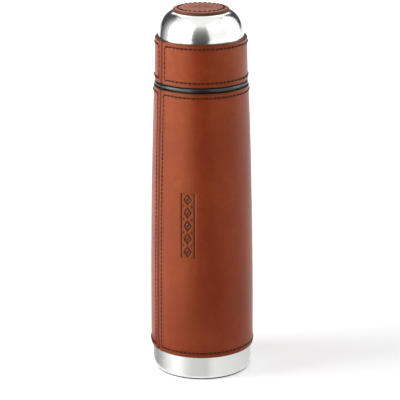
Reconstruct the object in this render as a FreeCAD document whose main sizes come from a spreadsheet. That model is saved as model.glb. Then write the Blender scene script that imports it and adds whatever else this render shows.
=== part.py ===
"""A leather-covered steel vacuum flask with a screw-on cup and a push-button pouring stopper.

The origin is the centre of the foot, on the surface the flask stands on, and +Z runs up its axis.
All lengths are in millimetres and all angles in degrees.
"""

import FreeCAD, Part
import math
import os
import Sketcher

DIMENSIONS = {
    # outer form
    "base_radius": 33.66,
    "shoulder_radius": 30.04,
    "band_height": 16.4,
    "body_height": 198.6,
    "foot_height": 0.8,
    "base_corner": 1.6,
    "base_lip": 1.8,
    "shoulder_round": 1.2,
    # steel walls
    "shell_wall": 0.45,
    "liner_wall": 0.4,
    "vacuum_gap": 2.2,
    "neck_gap": 1.15,
    "weld_gap": 0.05,
    # bottle inside
    "mouth_radius": 20.5,
    "neck_length": 20.4,
    "liner_floor": 12.0,
    "liner_corner": 8.0,
    "liner_shoulder_drop": 4.6,
    "liner_shoulder_rise": 9.0,
    "liner_shoulder_ledge": 1.0,
    # closing plate, vacuum seal and getter
    "plate_height": 8.2,
    "plate_flange": 4.0,
    "seal_hole_radius": 2.5,
    "seal_head_radius": 3.6,
    "seal_head": 0.7,
    "getter_radius": 4.0,
    "getter_thickness": 1.6,
    "getter_offset": 13.0,
    "clip_sheet": 0.4,
    "clip_width": 3.0,
    "clip_foot": 2.5,
    # foot pad
    "foot_overlap": 0.4,
    "foot_plug": 2.4,
    "foot_recess": 0.5,
    "foot_tread": 6.0,
    # collar on the neck
    "collar_proud": 0.15,
    "collar_flange": 3.1,
    "collar_edge": 1.5,
    "collar_wall": 2.0,
    "collar_drop": 1.0,
    "gasket_width": 3.0,
    "gasket_thickness": 0.95,
    # threads
    "thread_depth": 1.2,
    "thread_root": 1.6,
    "thread_crest": 0.8,
    "thread_clearance": 0.4,
    "flank_clearance": 0.25,
    "thread_embed": 0.3,
    "cup_thread_lead": 15.0,
    "cup_thread_starts": 3,
    "cup_thread_turns": 0.36,
    "cup_thread_rise": 4.4,
    "stopper_thread_lead": 4.0,
    "stopper_thread_turns": 1.5,
    "stopper_travel_turns": 2.0,
    "stopper_thread_drop": 11.6,
    # stopper
    "plug_depth": 16.0,
    "plug_wall": 1.8,
    "plug_edge": 1.0,
    "head_inset": 0.2,
    "head_height": 8.6,
    "head_wall": 1.8,
    "head_edge": 0.8,
    "stopper_seal": 1.2,
    "valve_hole_radius": 6.0,
    "shelf_height": 9.0,
    "shelf_thickness": 1.2,
    "shelf_window_radius": 3.3,
    "shelf_window_place": 10.0,
    "shelf_window_count": 4,
    "pour_width": 7.0,
    "pour_height": 3.6,
    "pour_count": 4,
    "grip_count": 24,
    "grip_radius": 0.9,
    "cover_thickness": 2.0,
    "cover_skirt": 2.2,
    "cover_edge": 0.9,
    "guide_wall": 2.0,
    "guide_depth": 6.4,
    # button and valve
    "button_radius": 11.8,
    "button_travel": 3.5,
    "button_wall": 1.5,
    "button_roof": 2.0,
    "button_skirt": 9.0,
    "button_edge": 1.0,
    "button_boss": 3.6,
    "button_boss_drop": 9.0,
    "button_socket": 5.3,
    "stem_radius": 2.0,
    "stem_tail": 4.0,
    "stem_groove": 0.4,
    "disc_radius": 8.2,
    "disc_thickness": 1.8,
    "disc_drop": 0.8,
    "valve_seal_width": 1.45,
    "valve_seal_height": 1.65,
    "clip_radius": 3.4,
    "clip_thickness": 0.6,
    "clip_wrap": 290.0,
    "o_ring_section": 0.6,
    "spring_radius": 5.0,
    "spring_wire": 0.4,
    "spring_turns": 4.0,
    # cup
    "cup_wall": 0.5,
    "cup_wall_gap": 0.85,
    "cup_roof_gap": 1.1,
    "cup_taper": 0.9,
    "cup_liner_taper": 0.85,
    "cup_headroom": 3.2,
    "cup_rim_gap": 0.2,
    "dome_shoulder": 12.1,
    "dome_rise": 17.8,
    "cup_ring_wall": 1.0,
    "cup_ring_height": 10.5,
    "cup_seal_height": 1.4,
    # leather
    "leather": 1.3,
    "cup_leather_low": 1.55,
    "cup_leather_high": 1.9,
    "cup_sleeve_rise": 0.6,
    "leather_edge": 0.5,
    "glue_gap": 0.1,
    "seam_gap": 0.35,
    "seam_angle": 212.5,
    "patch_overhang": 2.1,
    "patch_thickness": 1.6,
    # stitching
    "thread_radius": 0.35,
    "stitch_length": 2.1,
    "stitch_pitch": 3.0,
    "stitch_slant": 14.0,
    "stitch_lift": 0.05,
    "seam_margin": 3.5,
    "hem_margin": 3.2,
    "patch_margin": 3.0,
    "patch_pitch": 3.3,
    # running and seating gaps
    "running_gap": 0.3,
    "seat_gap": 0.1,
    "slip_gap": 0.05,
}

doc = FreeCAD.newDocument("Flask")
sheet = doc.addObject("Spreadsheet::Sheet", "Sizes")


class Size:
    """A value from the sheet, or worked out from it, with the expression that keeps a feature tied."""

    def __init__(self, value, text):
        self.value = value
        self.text = text

    def joined(self, sign, other, value):
        return Size(value, f"({self.text} {sign} {other.text})")

    def __add__(self, other):
        other = as_size(other)
        return self.joined("+", other, self.value + other.value)

    def __sub__(self, other):
        other = as_size(other)
        return self.joined("-", other, self.value - other.value)

    def __mul__(self, other):
        other = as_size(other)
        return self.joined("*", other, self.value * other.value)

    def __truediv__(self, other):
        other = as_size(other)
        return self.joined("/", other, self.value / other.value)


def as_size(number):
    return number if isinstance(number, Size) else Size(number, repr(number))


class Sizes:
    """The sheet's aliases as attributes."""


size = Sizes()
for row, (alias, number) in enumerate(DIMENSIONS.items(), start=1):
    sheet.set(f"A{row}", alias)
    sheet.set(f"B{row}", str(number))
    sheet.setAlias(f"B{row}", alias)
    setattr(size, alias, Size(float(number), f"Sizes.{alias}"))
doc.recompute()

ZERO = Size(0.0, "0")


# ---------------------------------------------------------------- outlines

def line(r, z):
    return ("line", r, z, None)


def arc(r, z, centre):
    """An arc to (r, z). Its centre is "level" with or "plumb" to its start or end: "level start" leaves
    upright, "level end" arrives upright, "plumb start" leaves flat and "plumb end" arrives flat."""
    return ("arc", r, z, centre)


def quarter(r, z, leaves):
    """A quarter of an ellipse to (r, z), which leaves "upright" and arrives flat, or leaves "flat"."""
    return ("quarter", r, z, leaves)


def origin_feature(body, role):
    for feature in body.Origin.OriginFeatures:
        if feature.Role == role:
            return feature
    raise ValueError(role)


def arc_centre(a, b, rule):
    """The centre of the arc from a to b, level with or plumb to one of them."""
    side = 0.5 * (b[0] ** 2 + b[1] ** 2 - a[0] ** 2 - a[1] ** 2)
    kept = a if rule.endswith("start") else b
    if rule.startswith("level"):
        return (side - kept[1] * (b[1] - a[1])) / (b[0] - a[0]), kept[1]
    return kept[0], (side - kept[0] * (b[0] - a[0])) / (b[1] - a[1])


def turns_left(a, b, centre):
    first = math.atan2(a[1] - centre[1], a[0] - centre[0])
    last = math.atan2(b[1] - centre[1], b[0] - centre[0])
    return (last - first) % math.tau < math.pi


def edge_curve(kind, a, b, rule):
    """The curve from a to b, and whether it is drawn backwards."""
    if kind == "line":
        curve = Part.LineSegment(FreeCAD.Vector(a[0], a[1], 0), FreeCAD.Vector(b[0], b[1], 0))
        return curve, False
    if kind == "arc":
        centre = arc_centre(a, b, rule)
        radius = math.dist(a, centre)
    else:
        centre = (b[0], a[1]) if rule == "upright" else (a[0], b[1])
    backwards = not turns_left(a, b, centre)
    low, high = (b, a) if backwards else (a, b)
    middle = FreeCAD.Vector(centre[0], centre[1], 0)
    if kind == "arc":
        curve = Part.Circle(middle, FreeCAD.Vector(0, 0, 1), radius)
        arc_type = Part.ArcOfCircle
    else:
        across, up = abs(b[0] - a[0]), abs(b[1] - a[1])
        ends = [middle + FreeCAD.Vector(across, 0, 0), middle + FreeCAD.Vector(0, up, 0)]
        if up > across:
            ends = [ends[1], middle - FreeCAD.Vector(across, 0, 0)]
        curve = Part.Ellipse(ends[0], ends[1], middle)
        arc_type = Part.ArcOfEllipse
    spans = [curve.parameter(FreeCAD.Vector(p[0], p[1], 0)) for p in (low, high)]
    if spans[1] < spans[0]:
        spans[1] += math.tau
    return arc_type(curve, spans[0], spans[1]), backwards


def pin_point(sketch, geometry, end, place):
    """Holds one point of a sketch at (across, up)."""
    for kind, axis, amount in (("DistanceX", -2, place[0]), ("DistanceY", -1, place[1])):
        if amount.value == 0.0:
            sketch.addConstraint(Sketcher.Constraint("PointOnObject", geometry, end, axis))
        else:
            constraint = Sketcher.Constraint(kind, -1, 1, geometry, end, amount.value)
            index = sketch.addConstraint(constraint)
            sketch.setExpression(f"Constraints[{index}]", amount.text)


def align_centre(sketch, geometry, rule, ends):
    """Keeps an arc's centre level with or plumb to its start or end."""
    word, which = rule.split()
    kept = ends[0] if which == "start" else ends[1]
    kind = "Horizontal" if word == "level" else "Vertical"
    sketch.addConstraint(Sketcher.Constraint(kind, geometry, 3, geometry, kept))


def draw_outline(body, name, plane, start, edges):
    """A closed sketch on one of the body's origin planes, from start through edges and back."""
    sketch = body.newObject("Sketcher::SketchObject", name)
    sketch.AttachmentSupport = [(origin_feature(body, plane), "")]
    sketch.MapMode = "FlatFace"
    corners = [start] + [(r, z) for _, r, z, _ in edges]
    drawn = []
    for (kind, _, _, rule), first, last in zip(edges, corners, corners[1:]):
        a, b = [(p[0].value, p[1].value) for p in (first, last)]
        curve, backwards = edge_curve(kind, a, b, rule)
        geometry = sketch.addGeometry(curve, False)
        ends = (2, 1) if backwards else (1, 2)
        drawn.append((geometry, ends))
        if kind == "arc":
            align_centre(sketch, geometry, rule, ends)
        if kind == "quarter":
            level, plumb = (ends[0], ends[1]) if rule == "upright" else (ends[1], ends[0])
            sketch.addConstraint(Sketcher.Constraint("Horizontal", geometry, 3, geometry, level))
            sketch.addConstraint(Sketcher.Constraint("Vertical", geometry, 3, geometry, plumb))
            sketch.exposeInternalGeometry(geometry)
            tall = abs(b[1] - a[1]) > abs(b[0] - a[0])
            sketch.addConstraint(Sketcher.Constraint("Vertical" if tall else "Horizontal", geometry + 1))
    corner = corners[-1]
    geometry = sketch.addGeometry(edge_curve("line", (corner[0].value, corner[1].value),
                                             (start[0].value, start[1].value), None)[0], False)
    drawn.append((geometry, (1, 2)))
    for (geometry, ends), (following, next_ends) in zip(drawn, drawn[1:] + drawn[:1]):
        sketch.addConstraint(
            Sketcher.Constraint("Coincident", geometry, ends[1], following, next_ends[0])
        )
    for (geometry, ends), place in zip(drawn, corners):
        pin_point(sketch, geometry, ends[0], place)
    return sketch


def draw_circle(body, name, plane, across, up, radius):
    sketch = body.newObject("Sketcher::SketchObject", name)
    sketch.AttachmentSupport = [(origin_feature(body, plane), "")]
    sketch.MapMode = "FlatFace"
    centre = FreeCAD.Vector(across.value, up.value, 0)
    circle = Part.Circle(centre, FreeCAD.Vector(0, 0, 1), radius.value)
    geometry = sketch.addGeometry(circle, False)
    pin_point(sketch, geometry, 3, (across, up))
    index = sketch.addConstraint(Sketcher.Constraint("Radius", geometry, radius.value))
    sketch.setExpression(f"Constraints[{index}]", radius.text)
    return sketch


# ---------------------------------------------------------------- features

def new_body(label):
    body = doc.addObject("PartDesign::Body", label)
    body.Label = label
    return body


def turned(label, start, edges, wrap=None):
    """A body turned about Z from an outline in the XZ plane, through 360 degrees or through wrap."""
    body = new_body(label)
    sketch = draw_outline(body, f"{label}_outline", "XZ_Plane", start, edges)
    feature = body.newObject("PartDesign::Revolution", f"{label}_turned")
    feature.Profile = sketch
    feature.ReferenceAxis = (sketch, ["V_Axis"])
    feature.Angle = 360.0
    if wrap:
        feature.setExpression("Angle", wrap.text)
    body.Tip = feature
    return body


def ring(label, inner, outer, low, high, wrap=None):
    corners = [line(outer, low), line(outer, high), line(inner, high)]
    return turned(label, (inner, low), corners, wrap)


def polar(body, feature, count):
    pattern = body.newObject("PartDesign::PolarPattern", f"{feature.Name}_pattern")
    pattern.Originals = [feature]
    pattern.Axis = (origin_feature(body, "Z_Axis"), [""])
    pattern.Angle = 360.0
    pattern.setExpression("Occurrences", count.text)
    body.Tip = pattern
    return pattern


def pocket_through(body, sketch, depth):
    """A pocket that reaches depth in all, half of it each side of its sketch."""
    feature = body.newObject("PartDesign::Pocket", f"{sketch.Name}_cut")
    feature.Profile = sketch
    feature.SideType = "Symmetric"
    feature.setExpression("Length", depth.text)
    body.Tip = feature
    return feature


def helical_rib(body, name, root, crest, centre_z, lead, turns, starts):
    """A raised trapezoid thread. root is the wall it stands on, and crest its tip, in or out."""
    outward = crest.value > root.value
    foot = root - size.thread_embed if outward else root + size.thread_embed
    edges = [
        line(root, centre_z - size.thread_root / 2),
        line(crest, centre_z - size.thread_crest / 2),
        line(crest, centre_z + size.thread_crest / 2),
        line(root, centre_z + size.thread_root / 2),
        line(foot, centre_z + size.thread_root / 2),
    ]
    sketch = draw_outline(body, f"{name}_section", "XZ_Plane", (foot, centre_z - size.thread_root / 2),
                          edges)
    feature = body.newObject("PartDesign::AdditiveHelix", name)
    feature.Profile = sketch
    feature.ReferenceAxis = (sketch, ["V_Axis"])
    feature.Mode = "pitch-turns-angle"
    feature.setExpression("Pitch", lead.text)
    feature.setExpression("Turns", turns.text)
    feature.LeftHanded = False
    feature.Reversed = False
    body.Tip = feature
    if starts:
        polar(body, feature, starts)
    return feature


# ---------------------------------------------------------------- shared places

mouth_height = size.body_height + size.neck_length
neck_outer = size.mouth_radius + size.liner_wall + size.neck_gap + size.shell_wall
steel_inner = size.base_radius - size.shell_wall
liner_low = steel_inner - size.vacuum_gap
liner_high = size.shoulder_radius - size.shell_wall - size.vacuum_gap
taper_top = size.body_height - size.shoulder_round
plate_under = size.plate_height - size.shell_wall
head_radius = neck_outer - size.head_inset
collar_low = size.body_height + size.seat_gap
collar_top = collar_low + size.collar_flange
collar_root = neck_outer + size.seat_gap + size.collar_wall
cup_thread_crest = collar_root + size.thread_clearance
cup_thread_root = cup_thread_crest + size.thread_depth
flank_offset = (size.thread_root + size.thread_crest) / 2 \
    - (size.thread_root - size.thread_crest) / 2 * size.thread_clearance / size.thread_depth \
    + size.flank_clearance
neck_thread_crest = size.mouth_radius - size.thread_depth
plug_radius = neck_thread_crest - size.thread_clearance
seal_low = mouth_height + size.seat_gap
head_low = seal_low + size.stopper_seal + size.seat_gap
head_top = head_low + size.head_height
cover_top = head_top + size.cover_thickness
plug_low = mouth_height - size.plug_depth
shelf_low = plug_low + size.shelf_height
shelf_top = shelf_low + size.shelf_thickness
plug_inner = plug_radius - size.plug_wall
button_top = cover_top + size.button_travel
button_skirt_low = button_top - size.button_skirt
button_under = button_top - size.button_roof
boss_low = button_under - size.button_boss_drop
guide_bore = size.button_radius + size.running_gap
stem_top = boss_low + size.button_socket
socket_radius = size.stem_radius + size.slip_gap
disc_top = plug_low - size.disc_drop
disc_low = disc_top - size.disc_thickness
stem_low = plug_low - size.stem_tail
cup_bottom = collar_top + size.cup_rim_gap
cup_ring_outer = cup_thread_root + size.cup_ring_wall
cup_liner_radius = cup_ring_outer + size.slip_gap * 3 + size.cup_wall
cup_liner_top_radius = cup_liner_radius - size.cup_liner_taper
cup_rim_radius = cup_liner_radius + size.cup_wall_gap + size.cup_wall
cup_top_radius = cup_rim_radius - size.cup_taper
dome_flat_radius = cup_top_radius - size.dome_shoulder
stopper_travel = size.stopper_thread_lead * size.stopper_travel_turns
cup_liner_top = button_top + stopper_travel + size.cup_headroom + size.cup_wall
cup_dome_top = cup_liner_top + size.cup_roof_gap + size.cup_wall
cup_dome_low = cup_dome_top - size.dome_rise
cup_leather_foot = cup_rim_radius + size.glue_gap + size.cup_leather_low
cup_leather_head = cup_top_radius + size.glue_gap + size.cup_leather_high
collar_radius = cup_leather_foot + size.collar_proud
sleeve_inner = size.base_radius + size.glue_gap
sleeve_outer = sleeve_inner + size.leather
sleeve_top_inner = size.shoulder_radius + size.glue_gap
sleeve_top_outer = sleeve_top_inner + size.leather
cup_sleeve_top = cup_dome_low + size.cup_sleeve_rise
patch_radius = dome_flat_radius + size.patch_overhang
patch_low = cup_dome_top + size.glue_gap
patch_top = patch_low + size.patch_thickness


# ---------------------------------------------------------------- flask

def outer_shell():
    wall = size.shell_wall
    lip = size.base_radius - size.base_corner - size.base_lip
    round_start = size.base_radius - size.base_corner
    round_end = size.foot_height + size.base_corner
    ledge = size.shoulder_radius - size.shoulder_round
    rim = mouth_height - size.liner_wall
    return turned("outer_shell", (lip, size.foot_height), [
        line(round_start, size.foot_height),
        arc(size.base_radius, round_end, "plumb start"),
        line(size.base_radius, size.band_height),
        arc(size.shoulder_radius, taper_top, "level start"),
        arc(ledge, size.body_height, "plumb end"),
        line(neck_outer, size.body_height),
        line(neck_outer, rim),
        line(neck_outer - wall, rim),
        line(neck_outer - wall, size.body_height - wall),
        line(ledge, size.body_height - wall),
        arc(size.shoulder_radius - wall, taper_top, "plumb start"),
        arc(steel_inner, size.band_height, "level end"),
        line(steel_inner, round_end),
        arc(round_start, size.foot_height + wall, "plumb end"),
        line(lip, size.foot_height + wall),
    ])


def inner_liner():
    wall = size.liner_wall
    floor = size.liner_floor
    corner = floor + size.liner_corner
    ledge_z = size.body_height - size.liner_shoulder_drop
    shoulder_z = ledge_z - size.liner_shoulder_rise
    neck_back = size.mouth_radius + wall
    ledge_r = neck_back + size.liner_shoulder_ledge
    rim = mouth_height - wall
    body = turned("inner_liner", (ZERO, floor), [
        line(liner_low - size.liner_corner, floor),
        arc(liner_low, corner, "plumb start"),
        arc(liner_high, shoulder_z, "level start"),
        quarter(ledge_r, ledge_z, "upright"),
        line(neck_back, ledge_z),
        line(neck_back, rim),
        line(neck_outer, rim),
        line(neck_outer, mouth_height),
        line(size.mouth_radius, mouth_height),
        line(size.mouth_radius, ledge_z - wall),
        line(ledge_r, ledge_z - wall),
        quarter(liner_high - wall, shoulder_z, "flat"),
        arc(liner_low - wall, corner, "level end"),
        arc(liner_low - size.liner_corner, floor + wall, "plumb end"),
        line(ZERO, floor + wall),
    ])
    helical_rib(body, "neck_thread", size.mouth_radius, neck_thread_crest,
                mouth_height - size.stopper_thread_drop, size.stopper_thread_lead,
                size.stopper_thread_turns, None)
    return body


def base_plate():
    """The welded plate that closes the vacuum space, with its pumping hole."""
    edge = steel_inner - size.weld_gap
    return turned("base_plate", (size.seal_hole_radius, plate_under), [
        line(edge - size.shell_wall, plate_under),
        line(edge - size.shell_wall, size.plate_flange),
        line(edge, size.plate_flange),
        line(edge, size.plate_height),
        line(size.seal_hole_radius, size.plate_height),
    ])


def vacuum_seal():
    shank = size.seal_hole_radius - size.weld_gap
    return turned("vacuum_seal", (ZERO, plate_under - size.seal_head), [
        quarter(size.seal_head_radius, plate_under, "flat"),
        line(shank, plate_under),
        line(shank, size.plate_height),
        line(ZERO, size.plate_height),
    ])


def getter():
    body = ring("getter", size.clip_sheet, size.getter_radius, size.plate_height + size.seat_gap,
                size.plate_height + size.seat_gap + size.getter_thickness)
    body.setExpression("Placement.Base.x", size.getter_offset.text)
    return body


def getter_clip():
    """A strap spot-welded to the closing plate, over the getter."""
    body = new_body("getter_clip")
    sheet_z = size.plate_height + size.clip_sheet
    under = size.plate_height + size.getter_thickness + size.seat_gap * 2
    inside = size.getter_radius + size.seat_gap
    outside = inside + size.clip_sheet
    toe = outside + size.clip_foot
    far_inside, far_outside, far_toe = [ZERO - x for x in (inside, outside, toe)]
    sketch = draw_outline(body, "clip_side", "XZ_Plane", (far_toe, size.plate_height), [
        line(far_inside, size.plate_height),
        line(far_inside, under),
        line(inside, under),
        line(inside, size.plate_height),
        line(toe, size.plate_height),
        line(toe, sheet_z),
        line(outside, sheet_z),
        line(outside, under + size.clip_sheet),
        line(far_outside, under + size.clip_sheet),
        line(far_outside, sheet_z),
        line(far_toe, sheet_z),
    ])
    pad = body.newObject("PartDesign::Pad", "clip_strap")
    pad.Profile = sketch
    pad.SideType = "Symmetric"
    pad.setExpression("Length", size.clip_width.text)
    body.Tip = pad
    body.setExpression("Placement.Base.x", size.getter_offset.text)
    return body


def foot_pad():
    """The rubber foot: a plug held in the rolled lip, with a tread ring under it."""
    lip = size.base_radius - size.base_corner - size.base_lip
    edge = size.base_radius - size.base_corner + size.foot_overlap
    plug = lip - size.seat_gap
    return turned("foot_pad", (ZERO, size.foot_recess), [
        line(edge - size.foot_tread - size.foot_recess, size.foot_recess),
        line(edge - size.foot_tread, ZERO),
        line(edge - size.foot_overlap, ZERO),
        arc(edge, size.foot_overlap, "plumb start"),
        line(edge, size.foot_height - size.slip_gap),
        line(plug, size.foot_height - size.slip_gap),
        line(plug, size.foot_height + size.foot_plug),
        line(ZERO, size.foot_height + size.foot_plug),
    ])


def neck_collar():
    bore = neck_outer + size.seat_gap
    waist = collar_low + size.collar_edge
    groove_in = bore + size.collar_wall / 2
    groove_out = groove_in + size.gasket_width + size.seat_gap * 2
    groove_top = collar_low + size.gasket_thickness
    top = mouth_height - size.collar_drop
    bevel = size.collar_wall / 3
    body = turned("neck_collar", (bore, collar_low), [
        line(groove_in, collar_low),
        line(groove_in, groove_top),
        line(groove_out, groove_top),
        line(groove_out, collar_low),
        line(collar_radius - size.collar_edge, collar_low),
        arc(collar_radius, waist, "plumb start"),
        arc(collar_radius - size.collar_edge, collar_top, "plumb end"),
        line(collar_root, collar_top),
        line(collar_root, top - bevel),
        line(collar_root - bevel, top),
        line(bore, top),
    ])
    helical_rib(body, "collar_thread", collar_root, collar_root + size.thread_depth,
                collar_top + size.cup_thread_rise, size.cup_thread_lead,
                size.cup_thread_turns, size.cup_thread_starts)
    return body


def neck_gasket():
    inner = neck_outer + size.seat_gap * 2 + size.collar_wall / 2
    low = size.body_height
    return ring("neck_gasket", inner, inner + size.gasket_width, low, low + size.gasket_thickness)


# ---------------------------------------------------------------- stopper

def stopper_seal():
    inner = plug_radius + size.running_gap
    return ring("stopper_seal", inner, head_radius - size.running_gap, seal_low,
                seal_low + size.stopper_seal)


def stopper_body():
    head_inner = head_radius - size.head_wall
    floor_top = plug_low + size.plug_wall
    body = turned("stopper_body", (size.valve_hole_radius, plug_low), [
        line(plug_radius - size.plug_edge, plug_low),
        arc(plug_radius, plug_low + size.plug_edge, "plumb start"),
        line(plug_radius, head_low),
        line(head_radius - size.head_edge, head_low),
        arc(head_radius, head_low + size.head_edge, "plumb start"),
        line(head_radius, head_top),
        line(head_inner, head_top),
        line(head_inner, head_low + size.plug_wall),
        line(plug_inner, head_low + size.plug_wall),
        line(plug_inner, shelf_top),
        line(size.stem_radius + size.running_gap, shelf_top),
        line(size.stem_radius + size.running_gap, shelf_low),
        line(plug_inner, shelf_low),
        line(plug_inner, floor_top),
        line(size.valve_hole_radius, floor_top),
    ])
    helical_rib(body, "plug_thread", plug_radius, plug_radius + size.thread_depth,
                mouth_height - size.stopper_thread_drop - flank_offset, size.stopper_thread_lead,
                size.stopper_thread_turns, None)
    windows = draw_circle(body, "shelf_window", "XY_Plane", size.shelf_window_place, ZERO,
                          size.shelf_window_radius)
    windows.setExpression("AttachmentOffset.Base.z", (shelf_low + size.shelf_thickness / 2).text)
    polar(body, pocket_through(body, windows, size.shelf_thickness * 2), size.shelf_window_count)
    half = size.pour_width / 2
    low = head_low + size.plug_wall
    high = low + size.pour_height
    slot = draw_outline(body, "pour_slot", "YZ_Plane", (ZERO - half, low), [
        line(half, low),
        line(half, high),
        line(ZERO - half, high),
    ])
    slot.setExpression("AttachmentOffset.Base.z", head_radius.text)
    polar(body, pocket_through(body, slot, size.head_wall * 4), size.pour_count)
    flute = draw_circle(body, "grip_flute", "XY_Plane",
                        head_radius + size.grip_radius / 3, ZERO, size.grip_radius)
    flute.setExpression("AttachmentOffset.Base.z", head_top.text)
    polar(body, pocket_through(body, flute, size.head_height * 2), size.grip_count)
    return body


def stopper_cover():
    """The lid of the stopper, with the guide tube for the button and a groove for its ring."""
    tube = guide_bore + size.guide_wall
    low = cover_top - size.guide_depth
    skirt_out = head_radius - size.head_wall - size.seat_gap
    skirt_in = skirt_out - size.head_wall / 2
    skirt_low = head_top - size.cover_skirt
    groove_mid = head_top - size.cover_skirt / 2
    groove_low = groove_mid - size.o_ring_section - size.slip_gap
    groove_high = groove_mid + size.o_ring_section + size.slip_gap
    groove_back = guide_bore + size.o_ring_section * 2
    return turned("stopper_cover", (guide_bore, low), [
        line(tube, low),
        line(tube, head_top),
        line(skirt_in, head_top),
        line(skirt_in, skirt_low),
        line(skirt_out, skirt_low),
        line(skirt_out, head_top),
        line(head_radius, head_top),
        line(head_radius, cover_top - size.cover_edge),
        arc(head_radius - size.cover_edge, cover_top, "plumb end"),
        line(guide_bore, cover_top),
        line(guide_bore, groove_high),
        line(groove_back, groove_high),
        line(groove_back, groove_low),
        line(guide_bore, groove_low),
    ])


def button_o_ring():
    torus = doc.addObject("Part::Torus", "button_o_ring")
    torus.Label = "button_o_ring"
    torus.setExpression("Radius1", (guide_bore + size.o_ring_section - size.slip_gap).text)
    torus.setExpression("Radius2", size.o_ring_section.text)
    torus.setExpression("Placement.Base.z", (head_top - size.cover_skirt / 2).text)
    return torus


def push_button():
    wall_in = size.button_radius - size.button_wall
    return turned("push_button", (socket_radius, boss_low), [
        line(size.button_boss, boss_low),
        line(size.button_boss, button_under),
        line(wall_in, button_under),
        line(wall_in, button_skirt_low),
        line(size.button_radius, button_skirt_low),
        line(size.button_radius, button_top - size.button_edge),
        arc(size.button_radius - size.button_edge, button_top, "plumb end"),
        line(ZERO, button_top - size.button_edge / 2),
        line(ZERO, stem_top + size.slip_gap),
        line(socket_radius, stem_top + size.slip_gap),
    ])


def valve_stem():
    groove = size.stem_radius - size.stem_groove
    groove_high = disc_low - size.seat_gap
    groove_low = groove_high - size.clip_thickness - size.slip_gap * 2
    return turned("valve_stem", (ZERO, stem_low), [
        line(size.stem_radius, stem_low),
        line(size.stem_radius, groove_low),
        line(groove, groove_low),
        line(groove, groove_high),
        line(size.stem_radius, groove_high),
        line(size.stem_radius, stem_top),
        line(ZERO, stem_top),
    ])


def stem_clip():
    inner = size.stem_radius - size.stem_groove + size.slip_gap
    high = disc_low - size.seat_gap - size.slip_gap
    return ring("stem_clip", inner, size.clip_radius, high - size.clip_thickness, high, size.clip_wrap)


def valve_disc():
    groove_out = size.disc_radius - size.running_gap
    groove_in = groove_out - size.valve_seal_width - size.seat_gap
    groove_low = disc_low + size.disc_thickness / 2
    return turned("valve_disc", (socket_radius, disc_low), [
        line(size.disc_radius, disc_low),
        line(size.disc_radius, disc_top),
        line(groove_out, disc_top),
        line(groove_out, groove_low),
        line(groove_in, groove_low),
        line(groove_in, disc_top),
        line(socket_radius, disc_top),
    ])


def valve_seal():
    outer = size.disc_radius - size.running_gap - size.slip_gap
    low = disc_low + size.disc_thickness / 2
    return ring("valve_seal", outer - size.valve_seal_width, outer, low, low + size.valve_seal_height)


def button_spring():
    """A compression spring between the shelf and the underside of the button."""
    body = new_body("button_spring")
    low = shelf_top + size.spring_wire + size.slip_gap
    length = button_under - shelf_top - size.spring_wire * 2 - size.slip_gap * 2
    sketch = draw_circle(body, "spring_wire", "XZ_Plane", size.spring_radius, low, size.spring_wire)
    coil = body.newObject("PartDesign::AdditiveHelix", "spring_coil")
    coil.Profile = sketch
    coil.ReferenceAxis = (sketch, ["V_Axis"])
    coil.Mode = "height-turns-angle"
    coil.setExpression("Height", length.text)
    coil.setExpression("Turns", size.spring_turns.text)
    body.Tip = coil
    return body


# ---------------------------------------------------------------- cup

def cup_shell():
    wall = size.cup_wall
    rim_in = cup_liner_radius + size.weld_gap
    return turned("cup_shell", (rim_in, cup_bottom), [
        line(cup_rim_radius, cup_bottom),
        line(cup_top_radius, cup_dome_low),
        quarter(dome_flat_radius, cup_dome_top, "upright"),
        line(ZERO, cup_dome_top),
        line(ZERO, cup_dome_top - wall),
        line(dome_flat_radius, cup_dome_top - wall),
        quarter(cup_top_radius - wall, cup_dome_low, "flat"),
        line(cup_rim_radius - wall, cup_bottom + wall),
        line(rim_in, cup_bottom + wall),
    ])


def cup_liner():
    wall = size.cup_wall
    top = cup_liner_top
    return turned("cup_liner", (cup_liner_radius - wall, cup_bottom), [
        line(cup_liner_radius, cup_bottom),
        line(cup_liner_top_radius, cup_dome_low),
        quarter(dome_flat_radius, top, "upright"),
        line(ZERO, top),
        line(ZERO, top - wall),
        line(dome_flat_radius, top - wall),
        quarter(cup_liner_top_radius - wall, cup_dome_low, "flat"),
    ])


def cup_thread_ring():
    low = cup_bottom + size.cup_seal_height
    outer = cup_ring_outer
    high = low + size.cup_ring_height
    slope = size.cup_liner_taper / (cup_dome_low - cup_bottom)
    lean = slope * (size.cup_ring_height + size.cup_seal_height)
    body = turned("cup_thread_ring", (cup_thread_root, low), [
        line(outer, low),
        line(outer - lean, high),
        line(cup_thread_root, high),
    ])
    helical_rib(body, "ring_thread", cup_thread_root, cup_thread_crest,
                collar_top + size.cup_thread_rise - flank_offset, size.cup_thread_lead,
                size.cup_thread_turns, size.cup_thread_starts)
    return body


def cup_seal():
    inner = collar_root + size.thread_depth + size.running_gap
    outer = cup_ring_outer - size.running_gap
    low = collar_top + size.seat_gap
    high = cup_bottom + size.cup_seal_height - size.seat_gap
    return ring("cup_seal", inner, outer, low, high)


# ---------------------------------------------------------------- leather

def wrap_angle(radius):
    """How far a leather panel goes round, so that its butt seam stays open by the seam gap."""
    return Size(360.0, "360") - size.seam_gap / radius * (180 / math.pi)


def turn_to_seam(body, wrap):
    """Turns a panel about Z so that the middle of its open seam lies at the seam angle."""
    turn = size.seam_angle + (Size(360.0, "360") - wrap) / 2
    body.Placement.Rotation = FreeCAD.Rotation(FreeCAD.Vector(0, 0, 1), 1.0)
    body.setExpression("Placement.Rotation.Angle", turn.text)


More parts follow.
